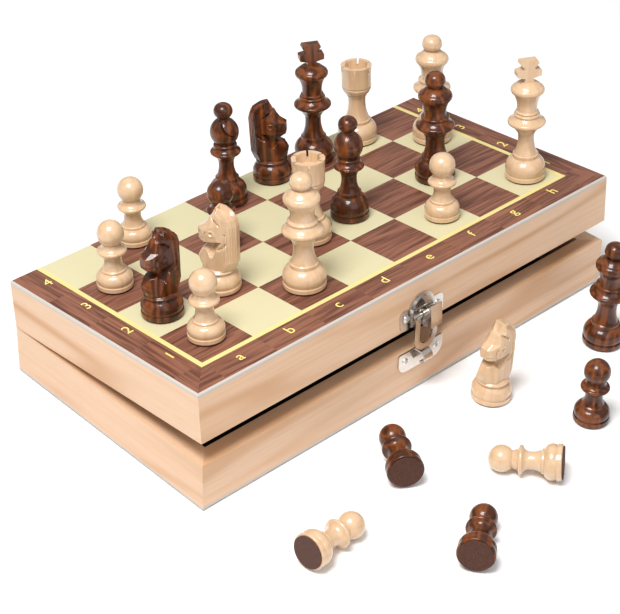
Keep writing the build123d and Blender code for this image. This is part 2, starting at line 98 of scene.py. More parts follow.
class Sock:
    """A value in a shader, with Python's arithmetic written out as Math nodes."""

    def __init__(self, shader: "Shader", socket: bpy.types.NodeSocket) -> None:
        """Keeps the shader and the socket the value comes from."""
        self.shader = shader
        self.socket = socket

    def _op(self, kind: str, left: "Sock | float", right: "Sock | float") -> "Sock":
        """Adds one Math node.

        Args:
            kind: The Math node's operation.
            left: Its first value.
            right: Its second value.

        Returns:
            The result as a value.
        """
        return self.shader.node("ShaderNodeMath", {"operation": kind}, {0: left, 1: right})

    def __add__(self, other: "Sock | float") -> "Sock":
        """Adds."""
        return self._op("ADD", self, other)

    __radd__ = __add__

    def __sub__(self, other: "Sock | float") -> "Sock":
        """Subtracts."""
        return self._op("SUBTRACT", self, other)

    def __rsub__(self, other: float) -> "Sock":
        """Subtracts from a number."""
        return self._op("SUBTRACT", other, self)

    def __mul__(self, other: "Sock | float") -> "Sock":
        """Multiplies."""
        return self._op("MULTIPLY", self, other)

    __rmul__ = __mul__

    def __truediv__(self, other: "Sock | float") -> "Sock":
        """Divides."""
        return self._op("DIVIDE", self, other)

    def __gt__(self, other: "Sock | float") -> "Sock":
        """One where this is greater, else zero."""
        return self._op("GREATER_THAN", self, other)

    def __lt__(self, other: "Sock | float") -> "Sock":
        """One where this is less, else zero."""
        return self._op("LESS_THAN", self, other)

    def floor(self) -> "Sock":
        """Rounds down."""
        return self._op("FLOOR", self, 0.0)

    def fract(self) -> "Sock":
        """The part after the point."""
        return self._op("FRACT", self, 0.0)

    def sin(self) -> "Sock":
        """The sine, of radians."""
        return self._op("SINE", self, 0.0)

    def absolute(self) -> "Sock":
        """The value without its sign."""
        return self._op("ABSOLUTE", self, 0.0)

    def power(self, exponent: float) -> "Sock":
        """Raises to a power."""
        return self._op("POWER", self, exponent)

    def largest(self, other: "Sock | float") -> "Sock":
        """The greater of the two."""
        return self._op("MAXIMUM", self, other)

    def between(self, low: float, high: float) -> "Sock":
        """Zero at low, one at high, and straight in between.

        Args:
            low: Where the result is zero.
            high: Where the result is one.

        Returns:
            The value, held between zero and one.
        """
        values = {"Value": self, "From Min": low, "From Max": high}
        return self.shader.node("ShaderNodeMapRange", {"clamp": True}, values)


class Shader:
    """One material with its nodes."""

    def __init__(self, name: str) -> None:
        """Makes the material with a Principled shader."""
        self.material = bpy.data.materials.new(name)
        self.material.use_nodes = True
        self.tree = self.material.node_tree
        self.surface = self.tree.nodes["Principled BSDF"]
        self.coords = self.node("ShaderNodeTexCoord", {}, {}, "Object")

    def node(self, kind: str, settings: dict, values: dict, output: int | str = 0) -> Sock:
        """Adds any node.

        Args:
            kind: The node's type.
            settings: Its properties, which are set first.
            values: Values or links for its sockets, by name or number.
            output: Which of its outputs is wanted.

        Returns:
            That output.
        """
        made = self.tree.nodes.new(kind)
        for name, value in settings.items():
            setattr(made, name, value)
        for key, value in values.items():
            if isinstance(value, Sock):
                self.tree.links.new(value.socket, made.inputs[key])
            else:
                made.inputs[key].default_value = value
        return Sock(self, made.outputs[output])

    def parts(self, vector: Sock) -> tuple[Sock, Sock, Sock]:
        """Splits a vector into its three numbers."""
        node = self.node("ShaderNodeSeparateXYZ", {}, {0: vector}).socket.node
        return tuple(Sock(self, out) for out in node.outputs)

    def vector(self, x: Sock | float, y: Sock | float, z: Sock | float) -> Sock:
        """Joins three numbers into a vector."""
        return self.node("ShaderNodeCombineXYZ", {}, {0: x, 1: y, 2: z})

    def noise(self, where: Sock, scale: float, detail: float = 2.0, rough: float = 0.5) -> Sock:
        """Soft noise at a place, around one half."""
        values = {"Vector": where, "Scale": scale, "Detail": detail, "Roughness": rough}
        return self.node("ShaderNodeTexNoise", {}, values)

    def mix(self, share: Sock | float, first: Sock | Colour, second: Sock | Colour) -> Sock:
        """Mixes two colours.

        Args:
            share: How much of the second there is.
            first: The colour at zero.
            second: The colour at one.

        Returns:
            The mixed colour.
        """
        full = [c if isinstance(c, Sock) else (*c, 1.0) for c in (first, second)]
        return self.node(
            "ShaderNodeMix", {"data_type": "RGBA"}, {0: share, 6: full[0], 7: full[1]}, 2
        )

    def blend(self, share: Sock, first: Sock | float, second: Sock | float) -> Sock:
        """Mixes two numbers by a share."""
        return self.node("ShaderNodeMix", {"data_type": "FLOAT"}, {0: share, 2: first, 3: second})

    def box_coords(self, half: Half) -> tuple[Sock, Sock, Sock]:
        """The place in the shut box, whichever half the piece belongs to."""
        x, y, z = self.parts(self.coords)
        if half is Half.TRAY:
            return x, y, z
        c, s = math.cos(LID_OPEN), math.sin(LID_OPEN)
        back, up = y - HINGE.y, z - HINGE.z
        return x, back * c - up * s + HINGE.y, back * s + up * c + HINGE.z

    def bump(self, height: Sock, distance: float, strength: float = 1.0) -> None:
        """Raises the surface by a height, in metres."""
        values = {"Height": height, "Distance": distance, "Strength": strength}
        self.feed("Normal", self.node("ShaderNodeBump", {}, values))

    def feed(self, name: str, value: Sock | float | Colour) -> None:
        """Sets one of the surface's inputs, or links a value to it."""
        if isinstance(value, Sock):
            self.tree.links.new(value.socket, self.surface.inputs[name])
        elif isinstance(value, tuple):
            self.surface.inputs[name].default_value = (*value, 1.0)
        else:
            self.surface.inputs[name].default_value = value


@dataclass(frozen=True)
class Pine:
    """Sanded pale pine under a thin satin lacquer."""

    half: Half
    run: Run
    pale: Colour = (0.70, 0.475, 0.315)
    late: Colour = (0.50, 0.25, 0.105)
    streak: Colour = (0.62, 0.34, 0.17)
    pore: Colour = (0.52, 0.29, 0.14)

    def material(self) -> bpy.types.Material:
        """Soft cathedral bands with fine straight pores."""
        s = Shader(f"pine_{self.half.value}_{self.run.value}")
        x, y, z = s.box_coords(self.half)
        if self.run is Run.RANKS:
            x, y = y, x
        seed = 0.31 if self.half is Half.TRAY else 0.0
        figure = s.noise(s.vector(x * 3.2 + seed, y * 26.0, z * 30.0), 1.0, 1.5, 0.4)
        band = ((figure * 34.0).sin() * 0.5 + 0.5).power(3.0)
        patch = s.noise(s.vector(x * 6.0, y * 20.0, z * 20.0 + seed), 1.0).between(0.42, 0.66)
        pores = s.noise(s.vector(x * 60.0, y * 1500.0, z * 1500.0), 1.0, 3.0, 0.6)
        tone = s.mix(band * (patch * 0.6 + 0.25), self.pale, self.late)
        fine = s.noise(s.vector(x * 5.0 + seed, y * 330.0, z * 330.0), 1.0, 3.0, 0.6)
        tone = s.mix(fine.between(0.44, 0.7) * 0.42, tone, self.streak)
        s.feed("Base Color", s.mix(pores.between(0.5, 0.75) * 0.3, tone, self.pore))
        s.feed("Roughness", 0.42 + pores * 0.16)
        s.feed("Coat Weight", 0.12)
        s.feed("Coat Roughness", 0.3)
        s.bump(pores, 0.00006, 0.5)
        return s.material


@dataclass(frozen=True)
class BoardPrint:
    """The printed playing surface: walnut and cream squares in a walnut border."""

    half: Half
    walnut: Colour = (0.28, 0.115, 0.068)
    vein: Colour = (0.085, 0.028, 0.018)
    cream: Colour = (0.61, 0.555, 0.345)
    line: Colour = (0.70, 0.60, 0.24)
    line_width: float = 0.085
    line_overlap: float = 0.015
    shaded: Colour = (0.15, 0.056, 0.036)
    fleck: Colour = (0.54, 0.48, 0.27)
    edge: Colour = (0.52, 0.47, 0.42)
    print_depth: float = 0.0002

    def material(self) -> bpy.types.Material:
        """The squares, the line round them and the mitred border, with a pale edge."""
        s = Shader(f"board_print_{self.half.value}")
        x, y, z = s.box_coords(self.half)
        u, v = (x - PLAY_LEFT) / SQUARE, (y - PLAY_NEAR) / SQUARE
        outside = (-1.0 * u).largest(u - 8.0).largest(-1.0 * v)
        beside = (x.absolute() + PLAY_LEFT) > (PLAY_NEAR - y).largest(0.0)
        along, across = s.blend(beside, x, y), s.blend(beside, y, x)
        flow = s.noise(s.vector(along * 9.0, across * 60.0, 0.0), 1.0, 2.0)
        grain = s.vector(along * 24.0, across * 560.0 + flow * 6.0, u.floor() * 3.7 + v.floor())
        veins = s.noise(grain, 1.0, 3.0, 0.65)
        shade = s.noise(s.vector(along * 20.0, across * 160.0 + flow * 3.0, 4.0), 1.0, 2.0)
        wood = s.mix(shade.between(0.3, 0.75) * 0.45, self.walnut, self.shaded)
        wood = s.mix(veins.between(0.42, 0.62) * 0.9, wood, self.vein)
        speck = s.noise(s.coords, 1400.0, 2.0, 0.7)
        pale = s.mix(speck.between(0.55, 0.8) * 0.35, self.cream, self.fleck)
        order = ((u.floor() + v.floor()) * 0.5).fract() > 0.25
        if self.half is Half.TRAY:
            order = 1.0 - order
        colour = s.mix(order * (outside < 0.0), wood, pale)
        inner = -self.line_overlap
        ring = (outside > inner) * (outside < inner + self.line_width)
        colour = s.mix(ring, colour, self.line)
        if self.half is Half.LID:
            printed = z > SHUT_HEIGHT - self.print_depth
        else:
            printed = z < self.print_depth
        s.feed("Base Color", s.mix(printed, self.edge, colour))
        s.feed("Roughness", 0.34 + speck * 0.14)
        s.feed("Specular IOR Level", 0.35)
        s.bump(veins, 0.00003, 0.4)
        return s.material


@dataclass(frozen=True)
class StainLook:
    """The colours and the gloss of one stain, and how strongly its grain shows."""

    body: Colour
    ring: Colour
    ring_share: float
    pore: Colour
    pore_share: float
    pore_low: float
    pore_high: float
    coat: float
    specular: float


STAIN_LOOKS = {
    Stain.LIGHT: StainLook(
        body=(0.64, 0.435, 0.265),
        ring=(0.48, 0.27, 0.12),
        ring_share=0.30,
        pore=(0.46, 0.27, 0.13),
        pore_share=0.2,
        pore_low=0.55,
        pore_high=0.8,
        coat=0.85,
        specular=0.5,
    ),
    Stain.DARK: StainLook(
        body=(0.055, 0.013, 0.003),
        ring=(0.24, 0.064, 0.012),
        ring_share=0.7,
        pore=(0.010, 0.003, 0.002),
        pore_share=0.6,
        pore_low=0.5,
        pore_high=0.75,
        coat=0.5,
        specular=0.2,
    ),
}


@dataclass(frozen=True)
class LacqueredWood:
    """Turned wood under gloss lacquer, with the felt pad under the foot."""

    name: str
    stain: Stain
    axis: Vector
    foot: float
    felt_top: float = 0.00079
    felt_dark: Colour = (0.050, 0.022, 0.016)
    felt_pale: Colour = (0.13, 0.062, 0.045)

    def material(self) -> bpy.types.Material:
        """Grain along the turning's axis, and felt below the foot."""
        s = Shader(f"wood_{self.name}")
        look = STAIN_LOOKS[self.stain]
        n = tuple(self.axis)
        up = s.node("ShaderNodeVectorMath", {"operation": "DOT_PRODUCT"}, {0: s.coords, 1: n}, 1)
        rise = s.node("ShaderNodeVectorMath", {"operation": "SCALE"}, {0: n, "Scale": up * 0.9})
        where = s.node("ShaderNodeVectorMath", {"operation": "SUBTRACT"}, {0: s.coords, 1: rise})
        figure = s.noise(where, 95.0, 2.0)
        rings = ((figure * 30.0).sin() * 0.5 + 0.5).power(2.0)
        pores = s.noise(where, 900.0, 3.0, 0.6)
        tone = s.mix(rings * look.ring_share, look.body, look.ring)
        shown = pores.between(look.pore_low, look.pore_high) * look.pore_share
        tone = s.mix(shown, tone, look.pore)
        felt = (up - self.foot) < self.felt_top
        fuzz = s.noise(s.coords, 2600.0, 2.0, 0.8)
        cloth = s.mix(fuzz.between(0.35, 0.7), self.felt_dark, self.felt_pale)
        s.feed("Base Color", s.mix(felt, tone, cloth))
        s.feed("Roughness", s.blend(felt, pores * 0.12 + 0.28, 1.0))
        s.feed("Coat Weight", (1.0 - felt) * look.coat)
        s.feed("Coat Roughness", 0.07)
        s.feed("Specular IOR Level", look.specular)
        s.bump(s.blend(felt, pores * 0.15, fuzz * 3.0), 0.0001, 0.6)
        return s.material


@dataclass(frozen=True)
class Plated:
    """Stamped sheet metal with a bright plating."""

    name: str
    tint: Colour
    roughness: float

    def material(self) -> bpy.types.Material:
        """Bright metal with faint rubbing marks and a soft waviness."""
        s = Shader(self.name)
        rub = s.noise(s.coords, 700.0, 4.0, 0.7)
        wave = s.noise(s.coords, 130.0, 1.0)
        dull = s.mix(rub.between(0.55, 0.85) * 0.4, self.tint, tuple(c * 0.6 for c in self.tint))
        s.feed("Base Color", dull)
        s.feed("Metallic", 1.0)
        s.feed("Roughness", rub * 0.12 + self.roughness)
        s.bump(wave, 0.00012, 0.35)
        return s.material


@dataclass(frozen=True)
class Felt:
    """Short-haired felt inside the box."""

    name: str = "lining_felt"
    tint: Colour = (0.012, 0.011, 0.011)
    fibre: Colour = (0.05, 0.045, 0.042)

    def material(self) -> bpy.types.Material:
        """Matte hair with small lighter fibres."""
        s = Shader(self.name)
        hair = s.noise(s.coords, 2200.0, 3.0, 0.8)
        s.feed("Base Color", s.mix(hair.between(0.5, 0.8), self.tint, self.fibre))
        s.feed("Roughness", 1.0)
        s.feed("Specular IOR Level", 0.1)
        s.bump(hair, 0.0002, 0.7)
        return s.material


@dataclass(frozen=True)
class PrintedYellow:
    """The ink of the coordinates."""

    name: str = "yellow_ink"
    tint: Colour = (0.90, 0.76, 0.20)
    worn: Colour = (0.78, 0.62, 0.14)

    def material(self) -> bpy.types.Material:
        """Flat ink with a slight mottle."""
        s = Shader(self.name)
        speck = s.noise(s.coords, 1500.0, 2.0)
        s.feed("Base Color", s.mix(speck * 0.3, self.tint, self.worn))
        s.feed("Roughness", 0.4 + speck * 0.1)
        return s.material


def dress(node: str, material: bpy.types.Material) -> None:
    """Gives a CAD node one material."""
    obj = frame["nodes"][node]
    obj.data.materials.clear()
    obj.data.materials.append(material)


def place(name: str, mesh: bpy.types.Mesh, body: str) -> bpy.types.Object:
    """Puts a finished mesh in the scene, on its body.

    Args:
        name: The piece's name.
        mesh: Its mesh, already in the row frame.
        body: The CAD body it rides on.

    Returns:
        The new object.
    """
    obj = bpy.data.objects.new(name, mesh)
    bpy.context.scene.collection.objects.link(obj)
    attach(obj, body)
    log.info("%s: %d faces on %s", name, len(mesh.polygons), body)
    return obj


@dataclass
class Box:
    """Both halves of the box, with their linings and hinges."""

    lining: Felt = field(default_factory=Felt)

    def dress(self) -> None:
        """Gives every piece of both halves its finish."""
        felt = self.lining.material()
        for half in Half:
            long_way, short_way = (Pine(half, run).material() for run in Run)
            for side in ("front", "back"):
                dress(f"{half.value}_{side}_wall", long_way)
            for side in ("left", "right"):
                dress(f"{half.value}_{side}_wall", short_way)
            dress(f"{half.value}_board_panel", BoardPrint(half).material())
            dress(f"{half.value}_lining", felt)
        brass = Plated("hinge_brass", (0.70, 0.50, 0.22), 0.22).material()
        for node in frame["nodes"]:
            if "hinge" in node:
                dress(node, brass)
        log.info("box dressed")


@dataclass
class Coordinates:
    """The letters and figures printed in the border."""

    size: float = 0.0088
    thickness: float = 0.00002
    front_row: float = -0.26
    left_column: float = -0.19
    right_column: float = 8.23

    def glyph(self, mesh: bmesh.types.BMesh, text: str, turn: Matrix) -> None:
        """Adds one character to a mesh.

        Args:
            mesh: What it is added to.
            text: The character.
            turn: Where its middle goes.
        """
        curve = bpy.data.curves.new("glyph", "FONT")
        curve.body = text
        curve.size = self.size
        curve.extrude = self.thickness
        curve.align_x, curve.align_y = "CENTER", "CENTER"
        holder = bpy.data.objects.new("glyph", curve)
        bpy.context.scene.collection.objects.link(holder)
        graph = bpy.context.evaluated_depsgraph_get()
        flat = bpy.data.meshes.new_from_object(holder.evaluated_get(graph))
        flat.transform(turn)
        mesh.from_mesh(flat)
        bpy.data.objects.remove(holder)
        bpy.data.meshes.remove(flat)

    def spots(self, half: Half) -> list[tuple[str, float, float]]:
        """Each character of one half with its place in squares."""
        first = 1 if half is Half.LID else 8
        step = 1 if half is Half.LID else -1
        found = [("abcdefgh"[i], i + 0.5, self.front_row) for i in range(8)]
        for i in range(4):
            for column in (self.left_column, self.right_column):
                found.append((str(first + step * i), column, i + 0.5))
        return found

    def build(self) -> None:
        """Makes the characters of both halves."""
        ink = PrintedYellow().material()
        for half in Half:
            mesh = bmesh.new()
            for text, u, v in self.spots(half):
                x, y = PLAY_LEFT + u * SQUARE, PLAY_NEAR + v * SQUARE
                if half is Half.LID:
                    turn = LID_TURN @ Matrix.Translation((x, y, SHUT_HEIGHT + self.thickness))
                else:
                    turn = Matrix.Translation((x, y, -self.thickness)) @ Matrix.Rotation(
                        math.pi, 4, "Y"
                    )
                self.glyph(mesh, text, turn)
            bmesh.ops.remove_doubles(mesh, verts=mesh.verts, dist=1e-7)
            data = bpy.data.meshes.new("coordinates")
            mesh.to_mesh(data)
            mesh.free()
            data.materials.clear()
            data.materials.append(ink)
            place(f"coordinates_{half.value}", data, half.value)


@dataclass
class Latch:
    """The toggle latch and the heads of its four screws."""

    head_radius: float = 0.0021
    head_rise: float = 0.0007
    slot_width: float = 0.0005
    screw_offset: float = 0.0113
    screw_height: float = 0.0353
    catch_height: float = 0.0224
    face: float = -0.0739
    cross_turn: float = 27.0

    def screw_tree(self) -> bpy.types.NodeTree:
        """A tree that puts a domed, crossed head on every point.

        Returns:
            The tree, with named inputs for the head's sizes.
        """
        tree = bpy.data.node_groups.new("screw_heads", "GeometryNodeTree")
        face = tree.interface
        face.new_socket("Points", in_out="INPUT", socket_type="NodeSocketGeometry")
        for name in ("Head radius", "Head rise", "Slot width"):
            face.new_socket(name, in_out="INPUT", socket_type="NodeSocketFloat")
        face.new_socket("Finish", in_out="INPUT", socket_type="NodeSocketMaterial")
        face.new_socket("Heads", in_out="OUTPUT", socket_type="NodeSocketGeometry")
        new, link = tree.nodes.new, tree.links.new
        given, out = new("NodeGroupInput"), new("NodeGroupOutput")
        ball, flat = new("GeometryNodeMeshUVSphere"), new("GeometryNodeTransform")
        ball.inputs["Segments"].default_value = 32
        ball.inputs["Rings"].default_value = 16
        link(given.outputs["Head radius"], ball.inputs["Radius"])
        link(ball.outputs["Mesh"], flat.inputs["Geometry"])
        ratio = new("ShaderNodeMath")
        ratio.operation = "DIVIDE"
        link(given.outputs["Head rise"], ratio.inputs[0])
        link(given.outputs["Head radius"], ratio.inputs[1])
        squash = new("ShaderNodeCombineXYZ")
        squash.inputs[0].default_value = squash.inputs[1].default_value = 1.0
        link(ratio.outputs[0], squash.inputs[2])
        link(squash.outputs[0], flat.inputs["Scale"])
        cut = new("GeometryNodeMeshBoolean")
        cut.operation = "DIFFERENCE"
        link(flat.outputs["Geometry"], cut.inputs["Mesh 1"])
        for order in ((0, 1), (1, 0)):
            bar, size = new("GeometryNodeMeshCube"), new("ShaderNodeCombineXYZ")
            move = new("GeometryNodeTransform")
            link(given.outputs["Head radius"], size.inputs[order[0]])
            link(given.outputs["Slot width"], size.inputs[order[1]])
            link(given.outputs["Head rise"], size.inputs[2])
            link(size.outputs[0], bar.inputs["Size"])
            lift = new("ShaderNodeCombineXYZ")
            link(given.outputs["Head rise"], lift.inputs[2])
            link(bar.outputs["Mesh"], move.inputs["Geometry"])
            link(lift.outputs[0], move.inputs["Translation"])
            link(move.outputs["Geometry"], cut.inputs["Mesh 2"])
        put = new("GeometryNodeInstanceOnPoints")
        put.inputs["Rotation"].default_value = (math.pi / 2, math.radians(self.cross_turn), 0)
        link(given.outputs["Points"], put.inputs["Points"])
        link(cut.outputs["Mesh"], put.inputs["Instance"])
        real, paint = new("GeometryNodeRealizeInstances"), new("GeometryNodeSetMaterial")
        link(put.outputs["Instances"], real.inputs["Geometry"])
        link(real.outputs["Geometry"], paint.inputs["Geometry"])
        link(given.outputs["Finish"], paint.inputs["Material"])
        link(paint.outputs["Geometry"], out.inputs["Heads"])
        return tree

    def heads(self, tree: bpy.types.NodeTree, half: Half, finish: bpy.types.Material) -> None:
        """Makes the two screw heads on one half.

        Args:
            tree: The tree that builds them.
            half: The half they are driven into.
            finish: Their material.
        """
        height = self.screw_height if half is Half.LID else self.catch_height
        points = bpy.data.meshes.new("screw_places")
        spots = [(side * self.screw_offset, self.face, height) for side in (-1, 1)]
        points.from_pydata(spots, [], [])
        holder = bpy.data.objects.new("screw_places", points)
        bpy.context.scene.collection.objects.link(holder)
        modifier = holder.modifiers.new("heads", "NODES")
        modifier.node_group = tree
        values = {
            "Head radius": self.head_radius,
            "Head rise": self.head_rise,
            "Slot width": self.slot_width,
            "Finish": finish,
        }
        for item in tree.interface.items_tree:
            if item.in_out == "INPUT" and item.name in values:
                modifier[item.identifier] = values[item.name]
        graph = bpy.context.evaluated_depsgraph_get()
        mesh = bpy.data.meshes.new_from_object(holder.evaluated_get(graph))
        bpy.data.objects.remove(holder)
        if half is Half.LID:
            mesh.transform(LID_TURN)
        place(f"latch_screw_heads_{half.value}", mesh, half.value)

    def build(self) -> None:
        """Dresses the latch's pieces and adds the screw heads."""
        nickel = Plated("nickel", (0.66, 0.62, 0.58), 0.13).material()
        steel = Plated("screw_steel", (0.70, 0.69, 0.67), 0.22).material()
        for node in frame["nodes"]:
            if node.startswith("latch_") or node == "catch_plate":
                dress(node, nickel)
            elif node.endswith("_screws"):
                dress(node, steel)
        tree = self.screw_tree()
        for half in Half:
            self.heads(tree, half, steel)


@dataclass
class Men:
    """All the men, each with the direction its turning's axis points."""

    on_floor: tuple[str, ...] = ("light_knight_2", "dark_queen_2", "dark_pawn_2")

    def axis_of(self, name: str) -> tuple[Vector, float]:
        """Finds a man's axis, pointing from its foot to its head, and where its foot is.

        Args:
            name: The man's node.

        Returns:
            The axis, and the foot's place along it.
        """
        data = frame["nodes"][name].data
        points = np.array([v.co for v in data.vertices], float)
        body = frame["nodes"][name]["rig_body"]
        joint = next(j for j in frame["joints"] if j["child"] == body)
        if joint["parent"] == "lid" or name in self.on_floor:
            axis = np.array(joint["axis"], float)
        else:
            middle = points - points.mean(0)
            axis = np.linalg.svd(middle, full_matrices=False)[2][0]
            along = middle @ axis
            ends = np.abs(middle - np.outer(along, axis)).max(1)
            low, high = along < np.quantile(along, 0.1), along > np.quantile(along, 0.9)
            if ends[high].max() > ends[low].max():
                axis = -axis
        axis = axis / np.linalg.norm(axis)
        return Vector(axis), float((points @ axis).min())

    def dress(self) -> None:
        """Gives every man its lacquered wood and its felt."""
        for node in sorted(frame["nodes"]):
            stain = next((one for one in Stain if node.startswith(one.value + "_")), None)
            if stain is not None and "knight" not in node:
                axis, foot = self.axis_of(node)
                dress(node, LacqueredWood(node, stain, axis, foot).material())
        log.info("men dressed")


@dataclass(frozen=True)
class Cut:
    """A carved line or rim: its depth and its width, in millimetres."""

    depth: float
    width: float

    def at(self, distance: np.ndarray) -> np.ndarray:
        """How deep it is at a distance from its middle."""
        return self.depth * np.exp(-((distance / self.width) ** 2))


@dataclass(frozen=True)
class Stand:
    """Where one knight stands, in metres, and which way it faces, in degrees."""

    name: str
    stain: Stain
    x: float
    y: float
    turn: float
    body: str
    on_lid: bool = True

    def matrix(self) -> Matrix:
        """Takes a knight from its own frame to its place."""
        height = SHUT_HEIGHT + LID_REST_GAP if self.on_lid else 0.0
        spot = Matrix.Translation((self.x, self.y, height))
        put = spot @ Matrix.Rotation(math.radians(self.turn), 4, "Z")
        return LID_TURN @ put if self.on_lid else put


@dataclass
class Knights:
    """The four knights: a turned foot with a horse's head carved above it, in millimetres."""

    nape: tuple[tuple[float, float], ...] = (
        (-9.0, 13.0), (-10.9, 17.7), (-11.2, 29.0), (-11.4, 37.3),
        (-10.6, 40.6), (-9.0, 42.9), (-5.6, 45.3), (-1.9, 46.4),
    )
    front: tuple[tuple[float, float], ...] = (
        (8.1, 13.0), (9.2, 16.0), (9.7, 18.7), (7.4, 23.0), (1.8, 24.7), (5.2, 25.8),
        (8.7, 28.2), (9.2, 30.0), (8.9, 34.3), (5.4, 36.5), (3.6, 39.0), (2.6, 41.0),
        (1.2, 42.4), (-0.9, 46.4),
    )
    levels: int = 150
    across: int = 58
    edge_points: int = 5
    segments: int = 72
    eye: tuple[float, float] = (0.8, 33.2)
    eye_radius: float = 1.35
    eye_rim: Cut = Cut(0.4, 0.32)
    pupil_radius: float = 0.9
    pupil_depth: float = 0.3
    nostril: tuple[float, float] = (7.5, 31.8)
    nostril_cut: Cut = Cut(0.5, 0.6)
    mouth: tuple[float, float] = (5.2, 29.6)
    mouth_cut: Cut = Cut(0.45, 0.3)
    brow: tuple[float, float] = (-0.5, 40.2)
    brow_slope: float = 0.8
    brow_cut: Cut = Cut(0.8, 0.6)
    brow_back: float = -3.6
    brow_low: float = 37.5
    cheek: tuple[float, float] = (-1.4, 31.0)
    cheek_radius: float = 5.0
    cheek_width: float = 5.9
    muzzle_taper: float = 0.46
    head_low: float = 24.0
    head_high: float = 41.0
    jaw_radius: float = 5.9
    jaw_cut: Cut = Cut(0.75, 0.55)
    jaw_top: float = 34.0
    jaw_back: float = -6.8
    chest_top: tuple[float, float] = (0.5, 23.5)
    chest_way: tuple[float, float] = (9.0, 4.0)
    chest_run: float = 9.85
    chest_width: float = 6.4
    chest_taper: float = 0.62
    chest_high: float = 24.7
    hollow_planes: tuple[tuple[float, float, float, float], ...] = (
        (1.5, 22.6, 0.62, -0.78),
        (-1.4, 26.9, -0.86, -0.5),
        (1.0, 27.2, 0.12, 1.0),
    )
    hollow_floor: float = 2.3
    hollow_slope: float = 2.4
    mane_reach: float = 6.2
    mane_fade: float = 1.2
    mane_low: float = 16.0
    mane_rise: float = 3.0
    mane_pitch: float = 0.95
    mane_depth: float = 0.42
    thinnest: float = 1.0
    widths: tuple[tuple[float, float], ...] = (
        (13.0, 8.6), (20.0, 6.6), (30.0, 6.1), (42.0, 5.0), (46.4, 3.4),
    )
    blank_radius: float = 8.9
    blank_flat: float = 2.0
    blank_flare: float = 0.9
    nape_edge: float = 2.1
    nape_slope: float = 1.1
    front_edge: float = 2.2
    front_slope: float = 1.0
    ears_depth: float = 3.4
    ears_gap: float = 1.9
    ears_low: float = 42.0
    ears_rise: float = 3.0
    foot_steps: tuple[tuple[float, float], ...] = (
        (9.6, 0.0), (9.6, 0.8), (10.1, 0.8), (10.45, 1.0), (10.6, 1.4), (10.6, 3.0),
        (10.4, 3.3), (10.0, 3.4), (10.0, 3.7),
    )
    foot_bulges: tuple[tuple[tuple[float, float], tuple[float, float], float], ...] = (
        ((10.0, 3.7), (8.0, 10.4), 1.3),
        ((7.7, 11.0), (7.7, 12.9), 0.9),
    )
    foot_top: tuple[float, float] = (7.2, 13.3)
    bulge_points: int = 13
    crease: float = 32.0

    def half_width(self, n: np.ndarray, z: np.ndarray, back: float, nose: float) -> np.ndarray:
        """How far the carved side stands from the middle.

        Args:
            n: Places towards the nose.
            z: Heights.
            back: The nape's place at this height.
            nose: The front's place at this height.

        Returns:
            The half width at each place.
        """
        wide = np.interp(z, *zip(*self.widths))
        left = np.sqrt(np.maximum(self.blank_radius**2 - n**2, self.blank_flat**2))
        wide = np.minimum(wide, left + (z - self.widths[0][0]) * self.blank_flare)
        wide = np.minimum(wide, self.nape_edge + self.nape_slope * (n - back))
        wide = np.minimum(wide, self.front_edge + self.front_slope * (nose - n))
        far = np.hypot(n - self.cheek[0], z - self.cheek[1])
        muzzle = self.cheek_width - self.muzzle_taper * np.maximum(far - self.cheek_radius, 0.0)
        head = (z > self.head_low) & (z < self.head_high) & (n > self.cheek[0])
        wide = np.where(head, np.minimum(wide, muzzle), wide)
        jaw = (z < self.jaw_top) * (n > self.jaw_back)
        wide = wide - self.jaw_cut.at(far - self.jaw_radius) * jaw
        chest = (n - self.chest_top[0]) * self.chest_way[0]
        chest = (chest + (z - self.chest_top[1]) * self.chest_way[1]) / self.chest_run
        chest = self.chest_width - self.chest_taper * np.maximum(chest, 0.0)
        wide = np.where(z < self.chest_high, np.minimum(wide, chest), wide)
        planes = [(n - n0) * a + (z - z0) * b for n0, z0, a, b in self.hollow_planes]
        hollow = np.maximum(np.maximum.reduce(planes), 0.0)
        wide = np.minimum(wide, self.hollow_floor + self.hollow_slope * hollow)
        ring = np.hypot(n - self.eye[0], z - self.eye[1])
        wide = wide + self.eye_rim.at(ring - self.eye_radius)
        wide = wide - self.pupil_depth * (ring < self.pupil_radius)
        wide = wide - self.nostril_cut.at(np.hypot(n - self.nostril[0], z - self.nostril[1]))
        wide = wide - self.mouth_cut.at(z - self.mouth[1]) * (n > self.mouth[0])
        brow = (z - self.brow[1]) - (n - self.brow[0]) * self.brow_slope
        wide = wide - self.brow_cut.at(brow) * (n > self.brow_back) * (z > self.brow_low)
        mane = np.clip((self.mane_reach - (n - back)) / self.mane_fade, 0.0, 1.0)
        mane = mane * np.clip((z - self.mane_low) / self.mane_rise, 0.0, 1.0)
        waves = 0.5 + 0.5 * np.sin((n - back) * 2.0 * np.pi / self.mane_pitch)
        return np.maximum(wide - self.mane_depth * mane * waves, self.thinnest)

